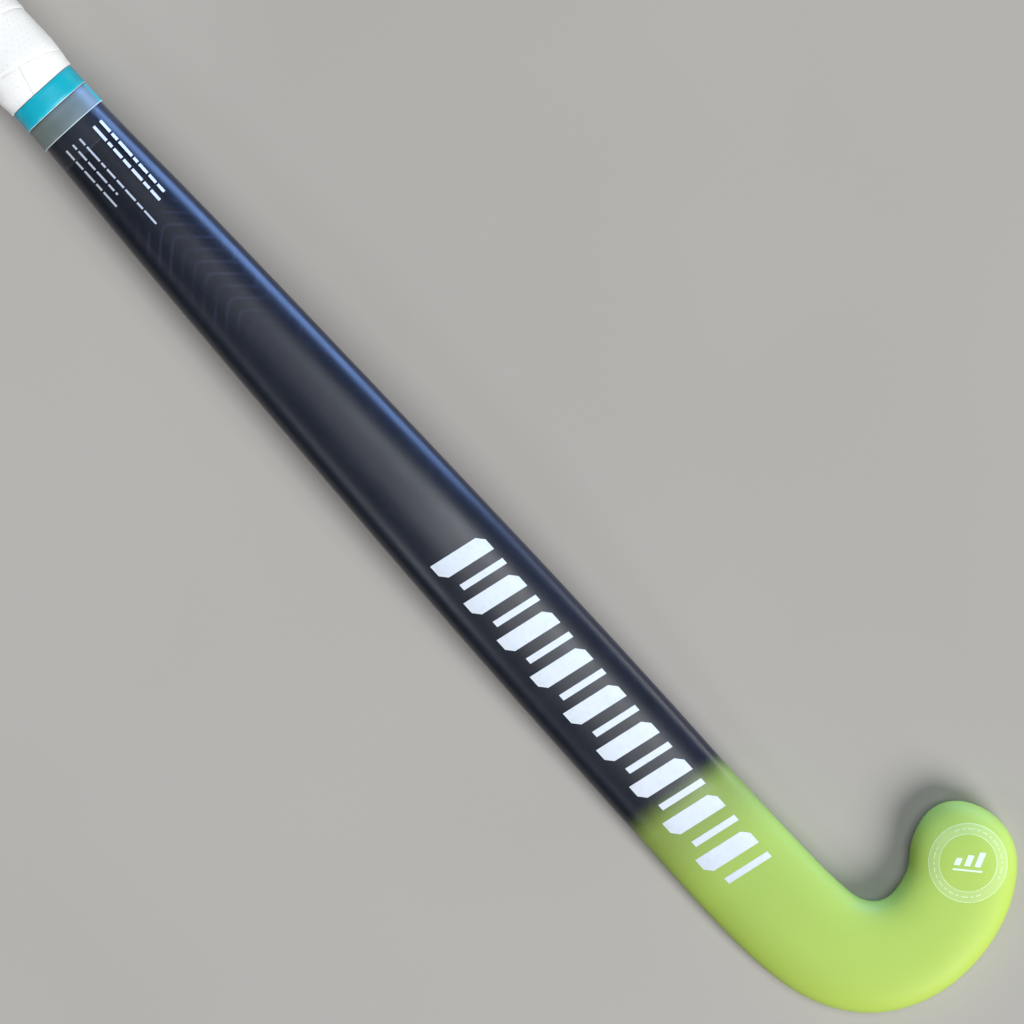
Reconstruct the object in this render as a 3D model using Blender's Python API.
# Field hockey stick of laminated composite, lying on its flat playing face.
#
# Axes: +X runs down the shaft towards the head, +Y points to the toe side and
# +Z comes out of the rounded back. The origin is the middle of the bounding
# box in X and Y, on the plane that the playing face rests on.
#
# Every long piece is a loft of D-shaped sections: a flat face at the bottom, a
# rounded edge on each side up to the widest line, and a crowned back. A
# section is drawn "inset" from the outer surface by a distance, so that walls,
# cores, tapes and sleeves all follow the same form.

import math

import bpy
import numpy as np

MM = 0.001

# ---------------------------------------------------------------- dimensions
LENGTH = 927.0            # butt to base of the head, 36.5 inches
TOE_SIDE = 94.6           # widest reach on the toe side of the shaft's centreline
HEEL_SIDE = 24.4          # widest reach on the heel side

GAP = 0.3                 # assembly gap between neighbouring pieces
SHAFT_WALL = 2.3
HEAD_WALL = 3.0
HEAD_WALL_FROM = 130.0    # distance above the base where the wall starts to thicken
HEAD_WALL_TO = 60.0

BOW_START = 85.0          # the playing face is flat from the toe up to here
BOW_APEX = 315.0          # highest point of the bow above the base
BOW_HEIGHT = 19.0
BUTT_RISE = 3.3           # face side of the bare shaft at the butt, above the floor
BUTT_SLOPE = -0.03        # slope of the face side at the butt

NOSE_LENGTH = 27.5        # length of the rounded toe end along the centreline
NOSE_STEP = 13.0          # the nose is an ellipse quarter, drawn in these degrees
NOSE_SKIN_END = 86.0
NOSE_HOLLOW_END = 64.0    # where the hollow inside the nose ends
NOSE_CORE_END = 60.0
FACE_FADE = 0.5           # width share below which the face rounds up to the tip
NOSE_EDGE_GAIN = 1.2      # how slowly the edge radius shrinks with the width
NOSE_HEIGHT_POWER = 0.75  # how slowly the height shrinks with the width

# Cap, grip and tapes, as distances above the base of the head
CAP_FLANGE = 4.0
CAP_SPIGOT = 18.0
CAP_PROUD = 3.3           # how far the flange stands out from the bare shaft
CAP_ROUND = 0.9           # rounded outer edge of the cap
CAP_LIP = 0.3             # small round where the flange meets the grip
SPIGOT_TAPER = 1.2        # lead-in at the inner end of the spigot
PLUG_LENGTH = 60.0
TUBE_TO_PLUG = 0.9        # clear length between the plug and the inner tubes
CUSHION_START = 560.0
CUSHION_END = 905.0
CUSHION_THICKNESS = 1.0
GRIP_START = 541.8
GRIP_RAMP_END = 557.0
GRIP_TAPE_THICKNESS = 1.3
TEAL_START = 531.8
TEAL_WIDTH = 9.7
TEAL_THICKNESS = 0.7
BAND_START = 521.1
BAND_WIDTH = 10.4
BAND_THICKNESS = 0.45
FILM_START = 509.0
FILM_THICKNESS = 0.25
TAPE_LIFT = 0.3           # gap under tapes

TUBE_START = 150.0
TUBE_WALL = 0.9
RIB_GAP = 0.3             # half the gap between the two inner tubes
RIB_CREST = 0.05          # the rib wall stops this far below the crown of the tube
PLY_THICKNESS = 1.2
PLY_START = 140.0
CORE_START = 146.0

# Sections along the stick, from the butt to the start of the rounded toe end:
# above base, toe-ward offset, turn of the section, half width, thickness,
# edge radius, height of the widest line. Lengths in millimetres, turn in degrees.
STATIONS = (
    (927.0, 0.0, 0.0, 13.4, 23.2, 9.6, 11.4),
    (800.0, 0.0, 0.0, 13.7, 23.4, 9.6, 11.6),
    (650.0, 0.0, 0.0, 14.2, 23.7, 9.5, 12.0),
    (570.0, 0.0, 0.0, 14.7, 23.8, 9.4, 12.2),
    (520.0, 0.0, 0.0, 15.5, 23.8, 9.2, 12.4),
    (480.0, 0.0, 0.0, 17.2, 23.7, 8.8, 12.4),
    (400.0, 0.0, 0.0, 19.9, 23.3, 8.0, 12.2),
    (320.0, 0.0, 0.0, 22.0, 22.8, 7.2, 11.8),
    (240.0, 0.0, 0.0, 23.7, 22.2, 6.4, 11.0),
    (160.0, 0.0, 0.0, 24.3, 21.5, 5.8, 10.0),
    (110.0, 0.0, 0.0, 24.4, 21.0, 5.4, 9.2),
    (84.0, 0.5, 1.5, 24.5, 20.8, 5.2, 8.6),
    (62.0, 2.0, 8.0, 24.3, 20.6, 5.0, 8.2),
    (44.0, 6.4, 28.0, 24.1, 20.4, 5.0, 7.8),
    (31.0, 16.0, 50.0, 23.8, 20.2, 5.0, 7.5),
    (23.4, 33.0, 79.0, 23.1, 20.0, 5.0, 7.4),
    (24.1, 49.2, 104.0, 23.1, 20.0, 5.0, 7.4),
    (30.2, 64.4, 127.0, 23.3, 20.0, 5.0, 7.4),
    (39.8, 74.0, 146.0, 23.0, 20.0, 5.0, 7.4),
    (61.5, 75.6, 178.0, 22.8, 20.0, 5.0, 7.4),
)

CROWN_POWER_HEAD = 3.0    # roundness of the back: 2 is an ellipse, more is fuller
CROWN_POWER_BUTT = 2.4

# Limits that keep an inset section from folding over itself
SMALLEST_EDGE = 0.8
WIDEST_EDGE_SHARE = 0.9
BELT_CLEARANCE = 0.5

# Points round a section
FACE_STEPS = 3
EDGE_STEPS = 4
CROWN_STEPS = 12

# Greatest distance between neighbouring sections
SHAFT_STEP = 36.0
HEAD_STEP = 7.0
TAPE_STEP = 6.0


# ------------------------------------------------------------------ geometry
def spline(x, y, q):
    """Natural cubic spline through (x, y), read at q."""
    count = len(x)
    step = np.diff(x)
    matrix = np.eye(count)
    right = np.zeros(count)
    for i in range(1, count - 1):
        matrix[i, i - 1] = step[i - 1]
        matrix[i, i] = 2.0 * (step[i - 1] + step[i])
        matrix[i, i + 1] = step[i]
        right[i] = 6.0 * ((y[i + 1] - y[i]) / step[i] - (y[i] - y[i - 1]) / step[i - 1])
    curve = np.linalg.solve(matrix, right)
    i = min(max(int(np.searchsorted(x, q)) - 1, 0), count - 2)
    after = q - x[i]
    before = x[i + 1] - q
    value = (curve[i] * before**3 + curve[i + 1] * after**3) / (6.0 * step[i])
    value += (y[i] / step[i] - curve[i] * step[i] / 6.0) * before
    value += (y[i + 1] / step[i] - curve[i + 1] * step[i] / 6.0) * after
    return float(value)


ROWS = np.array(STATIONS)
ARC = np.concatenate(([0.0], np.cumsum(np.hypot(np.diff(ROWS[:, 0]), np.diff(ROWS[:, 1])))))
TIP = float(ARC[-1])
NOSE_FROM = TIP - NOSE_LENGTH


def along(above_base):
    """Distance from the butt of a section on the straight shaft, or the reverse."""
    return LENGTH - above_base


def smooth(value):
    value = min(max(value, 0.0), 1.0)
    return value * value * (3.0 - 2.0 * value)


def face_height(above_base):
    """Height of the face side over the floor: the bow of the shaft."""
    if above_base <= BOW_START:
        return 0.0
    if above_base <= BOW_APEX:
        return BOW_HEIGHT * smooth((above_base - BOW_START) / (BOW_APEX - BOW_START))
    span = LENGTH - BOW_APEX
    t = (above_base - BOW_APEX) / span
    fall = 2.0 * t**3 - 3.0 * t**2
    return (1.0 + fall) * BOW_HEIGHT - fall * BUTT_RISE + (t**3 - t**2) * span * BUTT_SLOPE


def section_at(s):
    """Centre, turn and D-section dimensions at distance s from the butt."""
    above, offset, turn, half, thick, edge, belt = (spline(ARC, ROWS[:, k], s) for k in range(7))
    nose = min(max((s - NOSE_FROM) / NOSE_LENGTH, 0.0), 1.0)
    share = math.sqrt(1.0 - nose * nose)
    fade = min(share / FACE_FADE, 1.0)
    low = belt * (1.0 - math.sqrt(1.0 - (1.0 - fade) ** 2))
    rise = face_height(above)
    power = CROWN_POWER_HEAD
    power += (CROWN_POWER_BUTT - CROWN_POWER_HEAD) * smooth(above / GRIP_START)
    return {
        "above": above,
        "offset": offset,
        "turn": math.radians(turn),
        "half": half * share,
        "edge": edge * min(1.0, share * NOSE_EDGE_GAIN),
        "low": rise + low,
        "belt": rise + belt,
        "high": rise + belt + (thick - belt) * share**NOSE_HEIGHT_POWER,
        "power": power,
    }


def wall_at(s):
    """Wall thickness of the hollow laminate at distance s from the butt."""
    above = section_at(s)["above"]
    share = smooth((HEAD_WALL_FROM - above) / (HEAD_WALL_FROM - HEAD_WALL_TO))
    return SHAFT_WALL + (HEAD_WALL - SHAFT_WALL) * share


def to_row_frame(section, across, height):
    """Point of a section in metres, in the frame of the whole stick."""
    above = section["above"] + across * math.sin(section["turn"])
    toeward = section["offset"] + across * math.cos(section["turn"])
    x = LENGTH / 2.0 - above
    y = toeward - (TOE_SIDE - HEEL_SIDE) / 2.0
    return (x * MM, y * MM, height * MM)


def d_ring(s, inset, floor_lift=0.0, ceiling=None):
    """Closed ring of points, inset from the outer surface.

    floor_lift raises the flat bottom further; ceiling limits the height over
    the flat bottom, for a flat-topped slab.
    """
    sec = section_at(s)
    half = sec["half"] - inset
    low = sec["low"] + inset + floor_lift
    high = sec["high"] - inset
    edge = min(max(sec["edge"] - inset, SMALLEST_EDGE), half * WIDEST_EDGE_SHARE)
    belt = min(max(sec["belt"], low + BELT_CLEARANCE), high - BELT_CLEARANCE)
    if ceiling is not None:
        half = half - edge
        high = low + ceiling
        belt = low + ceiling * 0.5
        edge = ceiling * 0.5
    flat = half - edge
    points = []
    for k in range(FACE_STEPS):
        points.append((-flat + 2.0 * flat * k / FACE_STEPS, low))
    for k in range(EDGE_STEPS):
        a = 0.5 * math.pi * k / EDGE_STEPS
        points.append((flat + edge * math.sin(a), belt - (belt - low) * math.cos(a)))
    for k in range(CROWN_STEPS):
        points.append(crown_point(k, half, belt, high, sec["power"]))
    for k in range(EDGE_STEPS):
        a = 0.5 * math.pi * (1.0 - k / EDGE_STEPS)
        points.append((-flat - edge * math.sin(a), belt - (belt - low) * math.cos(a)))
    return [to_row_frame(sec, across, height) for across, height in points]


def crown_point(k, half, belt, high, power):
    """Point k of the crowned back, from the toe side to the heel side."""
    a = math.pi * k / CROWN_STEPS
    c = math.cos(a)
    across = half * math.copysign(abs(c) ** (2.0 / power), c)
    height = belt + (high - belt) * abs(math.sin(a)) ** (2.0 / power)
    return (across, height)


def half_ring(s, inset, side):
    """Ring of one inner tube: the half of the section on one side of the rib."""
    sec = section_at(s)
    half = sec["half"] - inset
    low = sec["low"] + inset
    high = sec["high"] - inset
    edge = max(sec["edge"] - inset, SMALLEST_EDGE)
    belt = min(max(sec["belt"], low + BELT_CLEARANCE), high - BELT_CLEARANCE)
    rib = RIB_GAP + inset - (wall_at(s) + GAP)
    flat = half - edge
    points = [(rib, low)]
    for k in range(EDGE_STEPS):
        a = 0.5 * math.pi * k / EDGE_STEPS
        points.append((flat + edge * math.sin(a), belt - (belt - low) * math.cos(a)))
    for k in range(CROWN_STEPS // 2):
        across, height = crown_point(k, half, belt, high, sec["power"])
        points.append((max(across, rib), height))
    points.append((rib, high - RIB_CREST))
    return [to_row_frame(sec, side * across, height) for across, height in points]


def tip_point(s):
    sec = section_at(s)
    return to_row_frame(sec, 0.0, sec["belt"])


# ---------------------------------------------------------------- Blender side
def clear_scene():
    for block in list(bpy.data.objects):
        bpy.data.objects.remove(block, do_unlink=True)


def material(name, colour, roughness, metallic=0.0, alpha=1.0):
    mat = bpy.data.materials.new(name)
    mat.use_nodes = True
    bsdf = mat.node_tree.nodes["Principled BSDF"]
    bsdf.inputs["Base Color"].default_value = (*colour, 1.0)
    bsdf.inputs["Roughness"].default_value = roughness
    bsdf.inputs["Metallic"].default_value = metallic
    bsdf.inputs["Alpha"].default_value = alpha
    return mat


def loft(name, rings, mat, collection, start_tip=None, end_tip=None, closed_loop=False):
    """Skin a list of equal rings.

    The ends are closed by a flat face, by a tip point, or, with closed_loop,
    by joining the last ring back to the first.
    """
    count = len(rings[0])
    points = [p for ring in rings for p in ring]
    faces = []
    last = len(rings) if closed_loop else len(rings) - 1
    for i in range(last):
        a = i * count
        b = ((i + 1) % len(rings)) * count
        for k in range(count):
            m = (k + 1) % count
            faces.append((a + k, a + m, b + m, b + k))
    if not closed_loop:
        first = tuple(reversed(range(count)))
        final = tuple(range((len(rings) - 1) * count, len(rings) * count))
        for cap, tip in ((first, start_tip), (final, end_tip)):
            if tip is None:
                faces.append(cap)
                continue
            points.append(tip)
            apex = len(points) - 1
            for k in range(count):
                faces.append((cap[k], cap[(k + 1) % count], apex))
    mesh = bpy.data.meshes.new(name)
    mesh.from_pydata(points, [], faces)
    mesh.validate()
    mesh.update()
    mesh.materials.append(mat)
    obj = bpy.data.objects.new(name, mesh)
    collection.objects.link(obj)
    face_outwards(obj)
    shade(obj)
    return obj


def face_outwards(obj):
    """Turn every face outwards, judged by the sign of the enclosed volume."""
    mesh = obj.data
    mesh.calc_loop_triangles()
    volume = 0.0
    for tri in mesh.loop_triangles:
        a, b, c = (mesh.vertices[i].co for i in tri.vertices)
        volume += a.dot(b.cross(c))
    if volume < 0.0:
        mesh.flip_normals()
        mesh.update()


def shade(obj):
    for poly in obj.data.polygons:
        poly.use_smooth = len(poly.vertices) <= 4
    obj.data.set_sharp_from_angle(angle=math.radians(40.0))


def spread(start, end, step):
    """Even distances from start to end, no further apart than step."""
    count = max(int(math.ceil(abs(end - start) / step)), 1)
    return [start + (end - start) * k / count for k in range(count + 1)]


def nose_spread(end):
    """Distances through the rounded toe end, closer together at the tip."""
    angles = []
    angle = NOSE_STEP
    while angle < end - 0.1 * NOSE_STEP:
        angles.append(angle)
        angle += NOSE_STEP
    angles.append(end)
    return [NOSE_FROM + NOSE_LENGTH * math.sin(math.radians(a)) for a in angles]


def between(start, end):
    """The shared section positions from start to end, both included.

    All pieces share these positions, so that the gaps between them stay even.
    """
    bend = along(HEAD_WALL_FROM)
    shared = spread(CAP_FLANGE + GAP, bend, SHAFT_STEP)
    shared += spread(bend, NOSE_FROM, HEAD_STEP)[1:]
    inner = [mark for mark in shared if start + 1.0 < mark < end - 1.0]
    return [start] + inner + [end]


def head_spread(start, nose_end):
    """Distances from a point on the shaft round the hook and into the toe."""
    return between(start, NOSE_FROM) + nose_spread(nose_end)


def sleeve(name, mat, collection, marks, lifts, thickness):
    """Tube that follows the shaft through the given distances from the butt.

    lifts holds, for each distance, how far its inside stands off the shaft.
    """
    inside = [d_ring(s, -lift) for s, lift in zip(marks, lifts)]
    outside = [d_ring(s, -lift - thickness) for s, lift in zip(marks, lifts)]
    return loft(name, outside + inside[::-1], mat, collection, closed_loop=True)


def band(name, mat, collection, low_end, high_end, thickness):
    """Narrow tape round the shaft between two heights above the base."""
    marks = spread(along(high_end), along(low_end), TAPE_STEP)
    return sleeve(name, mat, collection, marks, [TAPE_LIFT] * len(marks), thickness)


# ------------------------------------------------------------------ the pieces
def build_shell(collection):
    mat = material("laminate_shell", (0.02, 0.03, 0.05), 0.3)
    start = CAP_FLANGE + GAP
    outer_marks = head_spread(start, NOSE_SKIN_END)
    outer = [d_ring(s, 0.0) for s in outer_marks]
    inner_marks = head_spread(start, NOSE_HOLLOW_END)
    inner = [d_ring(s, wall_at(s)) for s in inner_marks]
    rings = inner[::-1] + outer
    return loft("laminate_shell", rings, mat, collection, end_tip=tip_point(TIP))


def build_face_ply(collection):
    mat = material("face_ply", (0.03, 0.03, 0.03), 0.6)
    marks = head_spread(along(PLY_START), NOSE_CORE_END)
    rings = [d_ring(s, wall_at(s) + GAP, ceiling=PLY_THICKNESS) for s in marks]
    return loft("face_ply", rings, mat, collection)


def build_head_core(collection):
    mat = material("head_core", (0.75, 0.68, 0.45), 0.9)
    marks = head_spread(along(CORE_START), NOSE_CORE_END)
    lift = PLY_THICKNESS + GAP
    rings = [d_ring(s, wall_at(s) + GAP, floor_lift=lift) for s in marks]
    return loft("head_core", rings, mat, collection)


def build_tube(collection, name, side):
    mat = material(name, (0.06, 0.06, 0.07), 0.5)
    first = CAP_FLANGE + CAP_SPIGOT + GAP + PLUG_LENGTH + TUBE_TO_PLUG
    marks = between(first, along(TUBE_START))
    outer = [half_ring(s, wall_at(s) + GAP, side) for s in marks]
    inner = [half_ring(s, wall_at(s) + GAP + TUBE_WALL, side) for s in marks]
    return loft(name, outer + inner[::-1], mat, collection, closed_loop=True)


def build_plug(collection):
    mat = material("handle_plug", (0.55, 0.5, 0.4), 0.9)
    first = CAP_FLANGE + CAP_SPIGOT + GAP
    marks = between(first, first + PLUG_LENGTH)
    rings = [d_ring(s, SHAFT_WALL + GAP) for s in marks]
    return loft("handle_plug", rings, mat, collection)


def build_cap(collection):
    mat = material("butt_cap", (0.03, 0.03, 0.03), 0.7)
    halfway = CAP_ROUND * (1.0 - math.sqrt(0.5))
    inside = SHAFT_WALL + GAP
    spigot_end = CAP_FLANGE + CAP_SPIGOT - GAP
    flange = [
        (0.0, CAP_ROUND - CAP_PROUD),
        (halfway, halfway - CAP_PROUD),
        (CAP_ROUND, -CAP_PROUD),
        (CAP_FLANGE - CAP_LIP, -CAP_PROUD),
        (CAP_FLANGE, CAP_LIP - CAP_PROUD),
    ]
    spigot = [
        (CAP_FLANGE, inside),
        (spigot_end - SPIGOT_TAPER, inside),
        (spigot_end, inside + SPIGOT_TAPER),
    ]
    rings = [d_ring(s, inset) for s, inset in flange + spigot]
    return loft("butt_cap", rings, mat, collection)


def grip_lift(s):
    """Inside of the grip tape: down on the shaft at the end, over the cushion above."""
    ramp = smooth((along(s) - GRIP_START) / (GRIP_RAMP_END - GRIP_START))
    return TAPE_LIFT + (CUSHION_THICKNESS + GAP) * ramp


def build_wraps(collection):
    cushion = material("grip_underlay", (0.1, 0.1, 0.1), 0.9)
    tape = material("grip_tape", (0.9, 0.9, 0.88), 0.6)
    teal = material("finishing_tape", (0.02, 0.45, 0.6), 0.4)
    grey = material("grey_band", (0.3, 0.35, 0.4), 0.35)
    film = material("clear_film", (0.7, 0.75, 0.8), 0.15, alpha=0.4)
    marks = between(along(CUSHION_END), along(CUSHION_START))
    lifts = [TAPE_LIFT] * len(marks)
    sleeve("grip_underlay", cushion, collection, marks, lifts, CUSHION_THICKNESS)
    ramp = spread(along(GRIP_RAMP_END), along(GRIP_START), TAPE_STEP)
    marks = between(CAP_FLANGE + GAP, along(GRIP_RAMP_END)) + ramp[1:]
    lifts = [grip_lift(s) for s in marks]
    sleeve("grip_tape", tape, collection, marks, lifts, GRIP_TAPE_THICKNESS)
    band("finishing_tape", teal, collection, TEAL_START, TEAL_START + TEAL_WIDTH, TEAL_THICKNESS)
    band("grey_band", grey, collection, BAND_START, BAND_START + BAND_WIDTH, BAND_THICKNESS)
    band("clear_film", film, collection, FILM_START, BAND_START - GAP, FILM_THICKNESS)


def main():
    clear_scene()
    parts = bpy.data.collections.new("field_hockey_stick")
    bpy.context.scene.collection.children.link(parts)
    build_shell(parts)
    build_face_ply(parts)
    build_head_core(parts)
    build_tube(parts, "toe_side_tube", 1.0)
    build_tube(parts, "heel_side_tube", -1.0)
    build_plug(parts)
    build_cap(parts)
    build_wraps(parts)


main()
